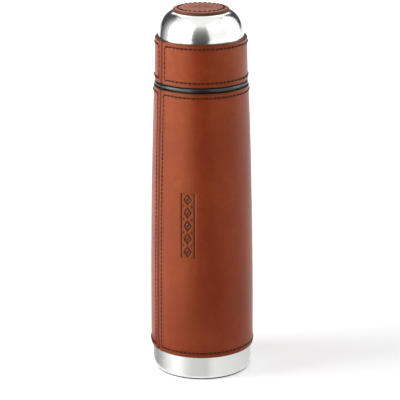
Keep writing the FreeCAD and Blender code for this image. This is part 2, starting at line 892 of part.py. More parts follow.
def body_sleeve():
    edge = size.leather_edge
    wrap = wrap_angle(sleeve_outer)
    body = turned("body_sleeve", (sleeve_inner, size.band_height), [
        line(sleeve_outer - edge, size.band_height),
        line(sleeve_outer, size.band_height + edge),
        arc(sleeve_top_outer, taper_top, "level start"),
        line(sleeve_top_outer, size.body_height - edge),
        line(sleeve_top_outer - edge, size.body_height),
        line(sleeve_top_inner, size.body_height),
        line(sleeve_top_inner, taper_top),
        arc(sleeve_inner, size.band_height + size.slip_gap, "level end"),
    ], wrap)
    turn_to_seam(body, wrap)
    return body


def cup_sleeve():
    edge = size.leather_edge
    low_in = cup_rim_radius + size.glue_gap
    low_out = cup_leather_foot
    high_in = cup_top_radius + size.glue_gap
    high_out = cup_leather_head
    wrap = wrap_angle(low_out)
    body = turned("cup_sleeve", (low_in, cup_bottom), [
        line(low_out - edge, cup_bottom),
        line(low_out, cup_bottom + edge),
        line(high_out, cup_sleeve_top - edge),
        line(high_out - edge, cup_sleeve_top),
        line(high_in, cup_sleeve_top),
        line(high_in, cup_dome_low),
    ], wrap)
    turn_to_seam(body, wrap)
    return body


def cup_patch():
    edge = size.leather_edge
    return turned("cup_patch", (ZERO, patch_low), [
        line(patch_radius, patch_low),
        line(patch_radius, patch_top - edge),
        arc(patch_radius - edge, patch_top, "plumb end"),
        line(ZERO, patch_top),
    ])


# ---------------------------------------------------------------- stitching

def body_leather_radius(z):
    """Outer radius of the body sleeve at height z."""
    low = (sleeve_outer.value, (size.band_height + size.leather_edge).value)
    high = (sleeve_top_outer.value, taper_top.value)
    if z >= high[1]:
        return high[0]
    centre = arc_centre(low, high, "level start")
    radius = low[0] - centre[0]
    return centre[0] + math.sqrt(radius ** 2 - (z - centre[1]) ** 2)


def cup_leather_radius(z):
    """Outer radius of the cup sleeve at height z."""
    share = (z - cup_bottom.value) / (cup_sleeve_top - cup_bottom).value
    return cup_leather_foot.value + (cup_leather_head - cup_leather_foot).value * share


def stitch_solid():
    """One stitch: a round-ended piece of thread lying along Z, centred on the origin."""
    radius = size.thread_radius.value
    straight = size.stitch_length.value - 2 * radius
    base = FreeCAD.Vector(0, 0, -straight / 2)
    rod = Part.makeCylinder(radius, straight, base)
    ends = [Part.makeSphere(radius, base), Part.makeSphere(radius, base * -1)]
    return rod.multiFuse(ends).removeSplitter()


def lay_stitches(label, places):
    """A row of stitches: each place is a middle point and the direction the thread runs."""
    pattern = stitch_solid()
    stitches = []
    for middle, direction in places:
        stitch = pattern.copy()
        turn = FreeCAD.Rotation(FreeCAD.Vector(0, 0, 1), direction)
        stitch.Placement = FreeCAD.Placement(middle, turn)
        stitches.append(stitch)
    feature = doc.addObject("Part::Feature", label)
    feature.Shape = Part.makeCompound(stitches)
    feature.Label = label
    feature.Placement = FreeCAD.Placement()
    return feature


def surface_point(radius_at, angle, z):
    lift = size.thread_radius.value + size.stitch_lift.value
    radius = radius_at(z) + lift
    return FreeCAD.Vector(radius * math.cos(angle), radius * math.sin(angle), z)


def hem_row(label, radius_at, z):
    """Slanted stitches round a hem, from one side of the seam to the other, falling to the right."""
    radius = radius_at(z)
    seam = math.radians(size.seam_angle.value)
    margin = size.seam_margin.value / radius
    span = math.tau - 2 * margin
    count = round(span * radius / size.stitch_pitch.value)
    slant = math.radians(size.stitch_slant.value)
    places = []
    for index in range(count):
        angle = seam + margin + span * (index + 0.5) / count
        around = FreeCAD.Vector(-math.sin(angle), math.cos(angle), 0)
        direction = around * math.cos(slant) - FreeCAD.Vector(0, 0, math.sin(slant))
        places.append((surface_point(radius_at, angle, z), direction))
    return lay_stitches(label, places)


def seam_row(label, radius_at, low, high, side):
    """Stitches up one side of the seam: side is -1 or 1."""
    seam = math.radians(size.seam_angle.value)
    count = round((high - low) / size.stitch_pitch.value)
    half = size.stitch_length.value / 2
    places = []
    for index in range(count):
        z = low + (high - low) * (index + 0.5) / count
        angle = seam + side * size.seam_margin.value / radius_at(z)
        lower = surface_point(radius_at, angle, z - half)
        upper = surface_point(radius_at, angle, z + half)
        places.append(((lower + upper) * 0.5, upper - lower))
    return lay_stitches(label, places)


def patch_row(label):
    radius = patch_radius.value - size.patch_margin.value
    z = patch_top.value + size.thread_radius.value + size.stitch_lift.value
    count = round(math.tau * radius / size.patch_pitch.value)
    places = []
    for index in range(count):
        angle = math.tau * (index + 0.5) / count
        around = FreeCAD.Vector(-math.sin(angle), math.cos(angle), 0)
        places.append((FreeCAD.Vector(radius * math.cos(angle), radius * math.sin(angle), z), around))
    return lay_stitches(label, places)


def sleeve_stitching(name, radius_at, low, high):
    """Both hems and both sides of the seam of one sleeve."""
    hem_low = low + size.hem_margin.value
    hem_high = high - size.hem_margin.value
    return [
        hem_row(f"{name}_bottom_stitching", radius_at, hem_low),
        hem_row(f"{name}_top_stitching", radius_at, hem_high),
        seam_row(f"{name}_seam_stitching_left", radius_at, hem_low, hem_high, -1),
        seam_row(f"{name}_seam_stitching_right", radius_at, hem_low, hem_high, 1),
    ]


# ---------------------------------------------------------------- build, check and write

def build():
    makers = [
        outer_shell, inner_liner, base_plate, vacuum_seal, getter, getter_clip, foot_pad,
        neck_collar, neck_gasket, body_sleeve,
        stopper_seal, stopper_body, stopper_cover, button_o_ring, push_button, button_spring,
        valve_stem, stem_clip, valve_disc, valve_seal,
        cup_seal, cup_shell, cup_liner, cup_thread_ring, cup_sleeve, cup_patch,
    ]
    pieces = [make() for make in makers]
    pieces += sleeve_stitching("body", body_leather_radius, size.band_height.value,
                               size.body_height.value)
    pieces += sleeve_stitching("cup", cup_leather_radius, cup_bottom.value,
                               cup_sleeve_top.value)
    pieces.append(patch_row("patch_stitching"))
    return pieces


def check(pieces):
    for thing in doc.Objects:
        if "Invalid" in thing.State or "Error" in thing.State:
            raise RuntimeError(f"{thing.Name} failed: {thing.State}")
    for piece in pieces:
        if piece.Shape.isNull() or not piece.Shape.isValid() or not piece.Shape.Solids:
            raise RuntimeError(f"{piece.Label} has no valid solid")
        for solid in piece.Shape.Solids:
            if solid.Volume <= 0:
                raise RuntimeError(f"{piece.Label} has an empty solid")


parts = build()
doc.recompute()
check(parts)
os.makedirs("parts", exist_ok=True)
for part in parts:
    part.Shape.exportStep(f"parts/{part.Label}.step")
    print(part.Label, len(part.Shape.Solids), round(part.Shape.Volume / 1000.0, 3), "cm3")
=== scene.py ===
import math

import bpy
import numpy as np
from mathutils import Matrix, Vector


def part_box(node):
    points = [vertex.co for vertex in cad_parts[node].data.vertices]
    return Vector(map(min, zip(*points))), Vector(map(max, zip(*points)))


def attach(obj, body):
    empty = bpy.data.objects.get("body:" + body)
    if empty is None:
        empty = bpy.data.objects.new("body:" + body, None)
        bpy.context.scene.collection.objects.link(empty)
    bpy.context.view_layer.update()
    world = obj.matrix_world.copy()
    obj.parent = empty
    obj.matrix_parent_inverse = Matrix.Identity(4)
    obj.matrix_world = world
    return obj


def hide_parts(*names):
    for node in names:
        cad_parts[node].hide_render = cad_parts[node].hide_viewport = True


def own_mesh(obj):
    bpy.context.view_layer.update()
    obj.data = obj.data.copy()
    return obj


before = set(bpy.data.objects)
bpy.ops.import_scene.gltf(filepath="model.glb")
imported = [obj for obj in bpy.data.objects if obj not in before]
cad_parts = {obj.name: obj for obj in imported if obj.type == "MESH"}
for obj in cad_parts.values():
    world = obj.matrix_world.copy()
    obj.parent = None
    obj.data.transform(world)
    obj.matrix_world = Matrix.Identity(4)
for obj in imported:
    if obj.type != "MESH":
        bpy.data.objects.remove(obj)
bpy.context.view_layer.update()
print("frame loaded,", len(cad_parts), "nodes")

mm = 0.001


# reading places from the frame

def nodePoints(node):
    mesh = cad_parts[node].data
    points = np.empty(len(mesh.vertices) * 3)
    mesh.vertices.foreach_get("co", points)
    return points.reshape(-1, 3)


def radiusNear(node, height, reach=0.8 * mm):
    points = nodePoints(node)
    near = points[np.abs(points[:, 2] - height) < reach]
    return float(np.hypot(near[:, 0], near[:, 1]).max())


def middleOf(node):
    low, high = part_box(node)
    return (low + high) / 2


def angleFrom(points, start):
    # angle round the flask, counted from start, always 0 to a full turn
    return (np.arctan2(points[..., 1], points[..., 0]) - start) % math.tau


def seamLine():
    # the two seam rows lie either side of the joint, so the joint is half way between them
    left = middleOf("body_seam_stitching_left")
    right = middleOf("body_seam_stitching_right")
    angle = math.atan2(left.y + right.y, left.x + right.x)
    between = math.atan2(left.y, left.x) - math.atan2(right.y, right.x)
    opening = abs((between + math.pi) % math.tau - math.pi)
    return angle, opening * math.hypot(left.x, left.y) / 2


seamAngle, seamMargin = seamLine()


# mesh helpers

def makePiece(name, points, faces, sharpAngle=40):
    mesh = bpy.data.meshes.new(name)
    mesh.from_pydata(points.tolist(), [], [list(face) for face in faces])
    mesh.validate()
    mesh.shade_smooth()
    mesh.set_sharp_from_angle(angle=math.radians(sharpAngle))
    piece = bpy.data.objects.new(name, mesh)
    bpy.context.scene.collection.objects.link(piece)
    return piece


def gridFaces(rows, columns, roundRows, roundColumns, first=0):
    # quads of a grid whose points run row by row, joined up again where it is round
    rowCount = rows if roundRows else rows - 1
    columnCount = columns if roundColumns else columns - 1
    i, j = np.meshgrid(np.arange(rowCount), np.arange(columnCount), indexing="ij")
    nextI = (i + 1) % rows
    nextJ = (j + 1) % columns
    corners = [i * columns + j, i * columns + nextJ, nextI * columns + nextJ, nextI * columns + j]
    return np.stack(corners, axis=-1).reshape(-1, 4) + first


def paint(piece, name, values):
    attribute = piece.data.attributes.new(name, "FLOAT", "POINT")
    attribute.data.foreach_set("value", np.clip(values, 0, 1).astype(np.float32).ravel())


def spaced(*spans):
    # each span is (start, end, gap); the last point of one is the first of the next
    runs = []
    for start, end, gap in spans:
        count = max(1, round(abs(end - start) / gap))
        runs.append(np.linspace(start, end, count, endpoint=False))
    return np.concatenate(runs)


def bump(distance, width):
    return np.exp(-(distance / width) ** 2)


def step(value, edge, softness):
    # 0 below the edge and 1 above it, with a soft change
    t = np.clip((value - edge) / softness + 0.5, 0, 1)
    return t * t * (3 - 2 * t)


def gapTo(values, marks):
    # distance from each value to the nearest mark
    marks = np.sort(np.asarray(marks))
    after = np.clip(np.searchsorted(marks, values), 1, len(marks) - 1)
    return np.minimum(np.abs(values - marks[after - 1]), np.abs(values - marks[after]))


# materials

def newMaterial(name):
    material = bpy.data.materials.new(name)
    material.use_nodes = True
    return material, material.node_tree.nodes["Principled BSDF"]


def addNode(material, kind, **settings):
    node = material.node_tree.nodes.new(kind)
    for setting, value in settings.items():
        setattr(node, setting, value)
    return node


def join(material, output, socket):
    material.node_tree.links.new(output, socket)


def place(material, scale=(1, 1, 1)):
    # the piece's own coordinates in metres, stretched by scale
    coordinates = addNode(material, "ShaderNodeTexCoord")
    mapping = addNode(material, "ShaderNodeMapping")
    mapping.inputs["Scale"].default_value = scale
    join(material, coordinates.outputs["Object"], mapping.inputs["Vector"])
    return mapping.outputs["Vector"]


def noise(material, vector, scale, detail=3.0, roughness=0.5):
    texture = addNode(material, "ShaderNodeTexNoise")
    texture.inputs["Scale"].default_value = scale
    texture.inputs["Detail"].default_value = detail
    texture.inputs["Roughness"].default_value = roughness
    join(material, vector, texture.inputs["Vector"])
    return texture.outputs["Fac"]


def cells(material, vector, scale):
    texture = addNode(material, "ShaderNodeTexVoronoi")
    texture.inputs["Scale"].default_value = scale
    join(material, vector, texture.inputs["Vector"])
    return texture.outputs["Distance"]


def spread(material, value, low, high, fromLow=0.3, fromHigh=0.7):
    node = addNode(material, "ShaderNodeMapRange")
    node.inputs["From Min"].default_value = fromLow
    node.inputs["From Max"].default_value = fromHigh
    node.inputs["To Min"].default_value = low
    node.inputs["To Max"].default_value = high
    join(material, value, node.inputs["Value"])
    return node.outputs["Result"]


def maths(material, operation, first, second):
    node = addNode(material, "ShaderNodeMath", operation=operation)
    for socket, value in zip(node.inputs, (first, second)):
        if isinstance(value, (int, float)):
            socket.default_value = value
        else:
            join(material, value, socket)
    return node.outputs["Value"]


def ramp(material, value, *stops):
    node = addNode(material, "ShaderNodeValToRGB")
    points = node.color_ramp.elements
    while len(points) < len(stops):
        points.new(0.5)
    for point, (position, colour) in zip(points, stops):
        point.position = position
        point.color = (*colour, 1)
    join(material, value, node.inputs["Fac"])
    return node.outputs["Color"]


def blendColour(material, share, first, second):
    node = addNode(material, "ShaderNodeMix", data_type="RGBA")
    join(material, share, node.inputs["Factor"])
    for socket, value in ((node.inputs[6], first), (node.inputs[7], second)):
        if isinstance(value, tuple):
            socket.default_value = (*value, 1)
        else:
            join(material, value, socket)
    return node.outputs[2]


def relief(material, shader, height, depth):
    node = addNode(material, "ShaderNodeBump")
    node.inputs["Distance"].default_value = depth
    join(material, height, node.inputs["Height"])
    join(material, node.outputs["Normal"], shader.inputs["Normal"])


def weighed(material, first, share, second):
    # share of the first value and the rest of the second
    return maths(material, "ADD", maths(material, "MULTIPLY", first, share),
                 maths(material, "MULTIPLY", second, 1 - share))


leatherLook = {
    "deep": (0.190, 0.018, 0.0038),
    "middle": (0.222, 0.0215, 0.0048),
    "light": (0.268, 0.032, 0.0072),
    # the dark colour of the cut edges and pressed lines, also laid on as painted shade in the seam, the
    # stitch channels, the needle holes and the hidden faces
    "darkMarksAndShadeColour": (0.030, 0.006, 0.002),
    "cloudScale": 26.0,       # cloudy tone, per metre
    "fleckScale": 364.0,
    "cloudShare": 0.7,        # of the tone, the flecks make the rest
    "poreScale": 1500.0,
    "poreShare": 0.55,        # how deep the pores are beside the creases
    "creaseScale": 675.0,
    "grainDepth": 0.042 * mm,
    "roughness": (0.29, 0.37),
    "shine": 0.29,
    "shineTint": (1.0, 0.80, 0.42),
}


def leatherMaterial(name, **changes):
    look = {**leatherLook, **changes}
    material, shader = newMaterial(name)
    here = place(material)
    clouds = noise(material, here, look["cloudScale"], 5.0, 0.62)
    flecks = noise(material, here, look["fleckScale"], 4.0, 0.6)
    tone = weighed(material, clouds, look["cloudShare"], flecks)
    colour = ramp(material, tone, (0.34, look["deep"]), (0.5, look["middle"]), (0.66, look["light"]))
    # the painted mask blends in the dark colour: the cut edges' own dark colour and the darker pressed
    # lines, and painted shade in the seam, the stitch channels, the needle holes, on the inner face and
    # under the disc, with painted shadow along the disc's rim
    darkMarksAndShadeMask = addNode(material, "ShaderNodeAttribute", attribute_name="darkMarksAndShade")
    colour = blendColour(material, darkMarksAndShadeMask.outputs["Fac"], colour, look["darkMarksAndShadeColour"])
    join(material, colour, shader.inputs["Base Color"])
    pores = cells(material, here, look["poreScale"])
    creases = noise(material, here, look["creaseScale"], 6.0, 0.65)
    grain = maths(material, "ADD", maths(material, "MULTIPLY", pores, look["poreShare"]), creases)
    relief(material, shader, grain, look["grainDepth"])
    low, high = look["roughness"]
    join(material, spread(material, flecks, low, high), shader.inputs["Roughness"])
    shader.inputs["Specular IOR Level"].default_value = look["shine"]
    shader.inputs["Specular Tint"].default_value = (*look["shineTint"], 1)
    return material


threadLook = {
    "dark": (0.008, 0.003, 0.002),
    "light": (0.028, 0.011, 0.006),
    "fibreScale": 5200.0,     # per metre
    "fibreDepth": 0.03 * mm,
    "roughness": (0.42, 0.6),
    "shine": 0.14,
}


def threadMaterial():
    material, shader = newMaterial("waxedThread")
    here = place(material)
    fibres = noise(material, here, threadLook["fibreScale"], 3.0, 0.7)
    join(material, ramp(material, fibres, (0.3, threadLook["dark"]), (0.72, threadLook["light"])),
         shader.inputs["Base Color"])
    relief(material, shader, fibres, threadLook["fibreDepth"])
    low, high = threadLook["roughness"]
    join(material, spread(material, fibres, low, high), shader.inputs["Roughness"])
    shader.inputs["Specular IOR Level"].default_value = threadLook["shine"]
    return material


# lineDepth is in mm
steelLook = {
    "outside": {"tone": (0.80, 0.80, 0.79), "roughness": (0.15, 0.20),
                "anisotropy": 0.35, "lineDepth": 0.0012},
    "inside": {"tone": (0.60, 0.60, 0.59), "roughness": (0.26, 0.38),
               "anisotropy": 0.4, "lineDepth": 0.004},
}

steelGrain = {
    "ringStretch": (14, 14, 5200),    # fine lines, far closer up the axis than round it
    "smearStretch": (30, 30, 90),
    "smear": (-0.02, 0.03),
    "lineDim": 0.95,
}


def turnedSteel(name, look):
    # brushed round the axis, so the fine lines are rings and the highlights run up and down
    material, shader = newMaterial(name)
    rings = noise(material, place(material, steelGrain["ringStretch"]), 1.0, 4.0, 0.7)
    smears = noise(material, place(material, steelGrain["smearStretch"]), 1.0, 3.0, 0.5)
    dim = tuple(part * steelGrain["lineDim"] for part in look["tone"])
    join(material, ramp(material, rings, (0.35, dim), (0.65, look["tone"])), shader.inputs["Base Color"])
    low, high = look["roughness"]
    rough = maths(material, "ADD", spread(material, rings, low, high),
                  spread(material, smears, *steelGrain["smear"]))
    join(material, rough, shader.inputs["Roughness"])
    relief(material, shader, rings, look["lineDepth"] * mm)
    shader.inputs["Metallic"].default_value = 1.0
    shader.inputs["Anisotropic"].default_value = look["anisotropy"]
    shader.inputs["Anisotropic Rotation"].default_value = 0.25
    tangent = addNode(material, "ShaderNodeTangent", direction_type="RADIAL", axis="Z")
    join(material, tangent.outputs["Tangent"], shader.inputs["Tangent"])
    return material


def plain(tone, roughness, grain, depth, metal=0.0):
    # grain is per metre and depth is in mm
    return {"tone": tone, "roughness": roughness, "grain": grain, "depth": depth, "metal": metal}


plainLooks = {
    "collarPlastic": plain((0.007, 0.007, 0.007), (0.20, 0.28), 900.0, 0.006),
    "stopperPlastic": plain((0.018, 0.018, 0.018), (0.34, 0.46), 2600.0, 0.02),
    "buttonPlastic": plain((0.085, 0.087, 0.090), (0.38, 0.50), 3000.0, 0.025),
    "footRubber": plain((0.026, 0.026, 0.027), (0.62, 0.80), 1800.0, 0.04),
    "sealSilicone": plain((0.52, 0.52, 0.50), (0.40, 0.55), 1200.0, 0.01),
    "solderBead": plain((0.42, 0.42, 0.41), (0.35, 0.55), 1500.0, 0.04, 1.0),
    "getterPellet": plain((0.11, 0.11, 0.12), (0.60, 0.85), 3600.0, 0.05, 0.6),
    "springWire": plain((0.66, 0.66, 0.66), (0.14, 0.26), 2200.0, 0.004, 1.0),
}


def mouldedMaterial(name):
    look = plainLooks[name]
    material, shader = newMaterial(name)
    here = place(material)
    fine = noise(material, here, look["grain"], 4.0, 0.6)
    broad = noise(material, here, look["grain"] / 40, 3.0, 0.5)
    mixed = weighed(material, fine, 0.5, broad)
    dark = tuple(part * 0.75 for part in look["tone"])
    light = tuple(min(1.0, part * 1.25) for part in look["tone"])
    join(material, ramp(material, mixed, (0.35, dark), (0.65, light)), shader.inputs["Base Color"])
    low, high = look["roughness"]
    join(material, spread(material, mixed, low, high), shader.inputs["Roughness"])
    relief(material, shader, fine, look["depth"] * mm)
    shader.inputs["Metallic"].default_value = look["metal"]
    return material


def finishNodes():
    finishes = {
        turnedSteel("brushedSteel", steelLook["outside"]): ["outer_shell", "cup_shell"],
        turnedSteel("innerSteel", steelLook["inside"]): ["inner_liner", "base_plate", "cup_liner"],
        mouldedMaterial("collarPlastic"): ["neck_collar", "cup_thread_ring"],
        mouldedMaterial("stopperPlastic"): ["stopper_body", "stopper_cover"],
        mouldedMaterial("buttonPlastic"): ["push_button", "valve_disc"],
        mouldedMaterial("footRubber"): ["foot_pad"],
        mouldedMaterial("sealSilicone"): ["neck_gasket", "stopper_seal", "button_o_ring", "valve_seal",
                                          "cup_seal"],
        mouldedMaterial("solderBead"): ["vacuum_seal"],
        mouldedMaterial("getterPellet"): ["getter"],
        mouldedMaterial("springWire"): ["getter_clip", "button_spring", "valve_stem", "stem_clip"],
    }
    for material, nodes in finishes.items():
        for node in nodes:
            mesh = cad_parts[node].data
            mesh.materials.clear()
            mesh.materials.append(material)


# leather wraps

wrapWork = {
    "channelDepth": 0.16,     # mm, where the thread beds in
    "channelWidth": 0.50,
    "holeDepth": 0.30,
    "holeWidth": 0.45,
    "jointDepth": 0.95,       # mm, the open line where the two edges meet
    "jointWidth": 0.36,
    "jointRoll": 0.42,
    "rollWidth": 1.15,
    "marginRise": 0.22,       # mm, the doubled strip beside the joint stands up this much
    "marginReach": 5.2,
    "marginFade": 1.2,
    "hemPuff": 0.14,
    "hemPuffPlace": 1.5,      # mm in from the cut edge
    "hemPuffWidth": 1.1,
    "edgeRound": 0.55,
    "waviness": 0.07,
    "fade": 0.6,              # mm in which a row of stitches gives way to the next
    "glue": 0.1,              # mm between the leather and the steel
    "straight": 1.2,          # mm, the neck of the body's wrap, above the end of its curve
    "innerRows": 9,
    # the inner face is painted darker as shade where it lies on the steel
    "innerShade": 0.6,
}

# mm between the points of the mesh, and how far the fine ones reach from an edge or the seam
wrapMesh = {
    "bodyStep": 0.86,
    "cupStep": 0.62,
    "fineStep": 0.42,
    "bodyRow": 0.74,
    "fineRow": 0.42,
    "cupRow": 0.38,
    "edgeRow": 0.12,
    "edgeSpan": 0.7,
    "hemSpan": 5.0,
    "seamSpan": 6.2,
    "ornamentSpan": 1.0,
}

# how much each mark darkens the leather: joint and roll are painted shade in the open seam and where its
# edges roll into it, channel and holes are painted shade in the stitch channels and needle holes, cut is the
# dark colour of the cut edges, pressed darkens the pressed ornament and hem darkens a strip just inside the
# edge
wrapShade = {
    "joint": 0.90,
    "roll": 0.35,
    "channel": 0.04,
    "holes": 0.55,
    "cut": 0.85,
    "cutWidth": 0.55,         # mm
    "pressed": 0.92,
    "hem": 0.10,
    "hemPlace": 1.0,          # mm in from the cut edge
    "hemWidth": 2.0,
}

ornament = {
    "turn": 42.0,             # degrees round from the seam
    "low": 87.0,              # mm above the foot
    "high": 132.0,
    "width": 9.0,
    "ruleWidth": 0.80,
    "lozenges": 5,
    "depth": 0.42,
    "soft": 0.35,             # mm of slope at the side of a pressed line
    # shares of a lozenge's pitch and of half the ornament's width
    "lozengeHigh": 0.44,
    "lozengeWide": 0.66,
    "dotOut": 0.62,
    "dotRadius": 0.55,
    # shares of the way from a lozenge's middle to its points
    "heart": 0.30,
    "ring": (0.58, 0.98),
    "lozengeSoft": 0.12,
}


def ornamentMask(across, height):
    # a chain of lozenges between two rules, pressed into the leather
    low, high = ornament["low"] * mm, ornament["high"] * mm
    half = ornament["width"] * mm / 2
    pitch = (high - low) / ornament["lozenges"]
    soft = ornament["soft"] * mm
    inside = step(height, low, soft) * (1 - step(height, high, soft))
    rule = 1 - step(np.abs(np.abs(across) - half), ornament["ruleWidth"] * mm / 2, soft)
    along = (height - low) % pitch - pitch / 2
    tall, wide = pitch * ornament["lozengeHigh"], half * ornament["lozengeWide"]
    lozenge = np.abs(along) / tall + np.abs(across) / wide
    ringStart, ringEnd = ornament["ring"]
    blur = ornament["lozengeSoft"]
    ring = step(lozenge, ringStart, blur) * (1 - step(lozenge, ringEnd, blur))
    heart = 1 - step(lozenge, ornament["heart"], blur)
    corner = np.hypot(np.abs(along) - pitch / 2, np.abs(across) - half * ornament["dotOut"])
    dots = 1 - step(corner, ornament["dotRadius"] * mm, soft)
    return inside * np.clip(rule + ring + heart + dots, 0, 1)


def stitchGroups(node, start=None):
    # the separate stitches of one row: round the flask from start, or up it where start is None
    points = nodePoints(node)
    reach = np.hypot(points[:, 0], points[:, 1])
    key = points[:, 2] if start is None else angleFrom(points, start) * reach.mean()
    order = np.argsort(key)
    breaks = np.flatnonzero(np.diff(key[order]) > 0.4 * mm) + 1
    # a stitch has points only at its two round ends, so every two groups are one stitch
    ends = np.split(points[order], breaks)
    places = []
    for first, last in zip(ends[::2], ends[1::2]):
        both = np.concatenate((first, last))
        middle = (both.min(0) + both.max(0)) / 2
        direction = last.mean(0) - first.mean(0)
        direction /= np.linalg.norm(direction)
        half = np.abs((both - middle) @ direction).max()
        places.append((middle, direction, half))
    return places


def holeMarks(places, start=None):
    # where the thread goes through the leather, as a length round the flask or a height
    marks = []
    for middle, direction, half in places:
        for end in (middle - direction * half, middle + direction * half):
            reach = math.hypot(middle[0], middle[1])
            marks.append(end[2] if start is None else float(angleFrom(end, start)) * reach)
    return marks


def sleeveMarks(wrap):
    # heights of the two hem rows, and where the needle went through in each row of this wrap
    bottomRow, topRow = f"{wrap}_bottom_stitching", f"{wrap}_top_stitching"
    return {
        "bottomHem": middleOf(bottomRow).z,
        "topHem": middleOf(topRow).z,
        "bottomHoles": holeMarks(stitchGroups(bottomRow, seamAngle), seamAngle),
        "topHoles": holeMarks(stitchGroups(topRow, seamAngle), seamAngle),
        "seamHoles": holeMarks(stitchGroups(f"{wrap}_seam_stitching_left")),
    }


def sleeveStitchBeds(marks, turn, height, radius):
    # the sunk lines that the thread lies in, and the needle holes along them
    work = wrapWork
    fade = work["fade"] * mm
    width, holeWidth = work["channelWidth"] * mm, work["holeWidth"] * mm
    bottomHem, topHem = marks["bottomHem"], marks["topHem"]
    fromSeam = np.minimum(turn, math.tau - turn) * radius
    between = step(height, bottomHem, fade) * (1 - step(height, topHem, fade))
    besideSeam = step(fromSeam, seamMargin, fade)
    seamChannel = bump(fromSeam - seamMargin, width) * between
    hemChannel = (bump(height - bottomHem, width) + bump(height - topHem, width)) * besideSeam
    along = turn * radius
    seamHoles = seamChannel * bump(gapTo(height, marks["seamHoles"]), holeWidth)
    bottomHoles = bump(height - bottomHem, holeWidth) * bump(gapTo(along, marks["bottomHoles"]), holeWidth)
    topHoles = bump(height - topHem, holeWidth) * bump(gapTo(along, marks["topHoles"]), holeWidth)
    return seamChannel + hemChannel, seamHoles + (bottomHoles + topHoles) * besideSeam


def sleeveRelief(marks, turn, height, radius, fromEdge, pressed):
    # how far the outer face stands off its plain shape in mm, and how dark it is
    work, dark = wrapWork, wrapShade
    channels, holes = sleeveStitchBeds(marks, turn, height, radius)
    fromSeam = np.minimum(turn, math.tau - turn) * radius
    joint = bump(fromSeam, work["jointWidth"] * mm)
    roll = bump(fromSeam, work["rollWidth"] * mm)
    margin = 1 - step(fromSeam, work["marginReach"] * mm, work["marginFade"] * mm)
    puff = bump(fromEdge - work["hemPuffPlace"] * mm, work["hemPuffWidth"] * mm)
    waves = (np.sin(turn * 3 + height * 41) + np.sin(turn * 7 - height * 67 + 1.3)
             + 0.6 * np.sin(turn * 13 + height * 120 + 0.4)) / 2.6
    offset = -work["channelDepth"] * channels - work["holeDepth"] * holes
    offset += -work["jointDepth"] * joint - work["jointRoll"] * roll + work["marginRise"] * margin
    offset += work["hemPuff"] * puff + work["waviness"] * waves - ornament["depth"] * pressed
    # shade adds painted shade in the seam, the stitch channels and the needle holes to the dark cut edges,
    # the darker pressed lines and the strip inside the edge
    shade = dark["joint"] * joint + dark["roll"] * roll + dark["channel"] * channels + dark["holes"] * holes
    shade += dark["cut"] * bump(fromEdge, dark["cutWidth"] * mm) + dark["pressed"] * pressed
    shade += dark["hem"] * bump(fromEdge - dark["hemPlace"] * mm, dark["hemWidth"] * mm)
    return offset, shade


def leatherSleeve(wrap, radiusAt, innerAt, low, high, angles, rows, withOrnament):
    # a closed sleeve: the worked outer face, then back down the plain inner one
    work = wrapWork
    turn, height = np.meshgrid(angles, rows, indexing="ij")
    radius = radiusAt(height)
    fromEdge = np.minimum(height - low, high - height)
    pressed = np.zeros_like(turn)
    if withOrnament:
        pressed = ornamentMask((turn - math.radians(ornament["turn"])) * radius, height)
    offset, shade = sleeveRelief(sleeveMarks(wrap), turn, height, radius, fromEdge, pressed)
    outer = radius + offset * mm
    edgeRound = work["edgeRound"] * mm
    rounding = np.clip(1 - fromEdge / edgeRound, 0, 1)
    outer -= edgeRound * (1 - np.sqrt(np.clip(1 - rounding ** 2, 0, 1)))

    innerRows = np.linspace(high, low, work["innerRows"])
    inner = np.repeat(innerAt(innerRows)[None, :], len(angles), axis=0)
    loopR = np.concatenate([outer, inner], axis=1)
    loopZ = np.concatenate([height, np.repeat(innerRows[None, :], len(angles), axis=0)], axis=1)
    world = angles[:, None] + seamAngle
    points = np.stack([loopR * np.cos(world), loopR * np.sin(world), loopZ], axis=-1)
    faces = gridFaces(len(angles), loopR.shape[1], True, True)
    piece = makePiece(f"{wrap}Leather", points.reshape(-1, 3), faces[:, ::-1])
    # painted shade and the dark marks go into the leather's colour, and the inner face is painted darker as
    # shade all over
    paint(piece, "darkMarksAndShade", np.concatenate([shade, np.full_like(inner, work["innerShade"])], axis=1))
    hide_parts(f"{wrap}_sleeve")
    return piece


def turnSteps(radius, coarseStep, *fineSpans):
    # angles round the wrap from the seam, fine beside the seam and in each span given
    fine, coarse = wrapMesh["fineStep"] * mm / radius, coarseStep * mm / radius
    seamSpan = wrapMesh["seamSpan"] * mm / radius
    spans = [(0, seamSpan, fine)]
    reached = seamSpan
    for start, end in fineSpans:
        spans += [(reached, start, coarse), (start, end, fine)]
        reached = end
    spans += [(reached, math.tau - seamSpan, coarse), (math.tau - seamSpan, math.tau, fine)]
    return spaced(*spans)


def bodyRows(low, high):
    # heights up the body, fine at the hems and across the ornament
    mesh = wrapMesh
    fine, coarse, edge = mesh["fineRow"] * mm, mesh["bodyRow"] * mm, mesh["edgeRow"] * mm
    edgeSpan, hemSpan = mesh["edgeSpan"] * mm, mesh["hemSpan"] * mm
    start = (ornament["low"] - mesh["ornamentSpan"]) * mm
    end = (ornament["high"] + mesh["ornamentSpan"]) * mm
    rows = spaced((low, low + edgeSpan, edge), (low + edgeSpan, low + hemSpan, fine),
                  (low + hemSpan, start, coarse), (start, end, fine), (end, high - hemSpan, coarse),
                  (high - hemSpan, high - edgeSpan, fine), (high - edgeSpan, high, edge))
    return np.append(rows, high)


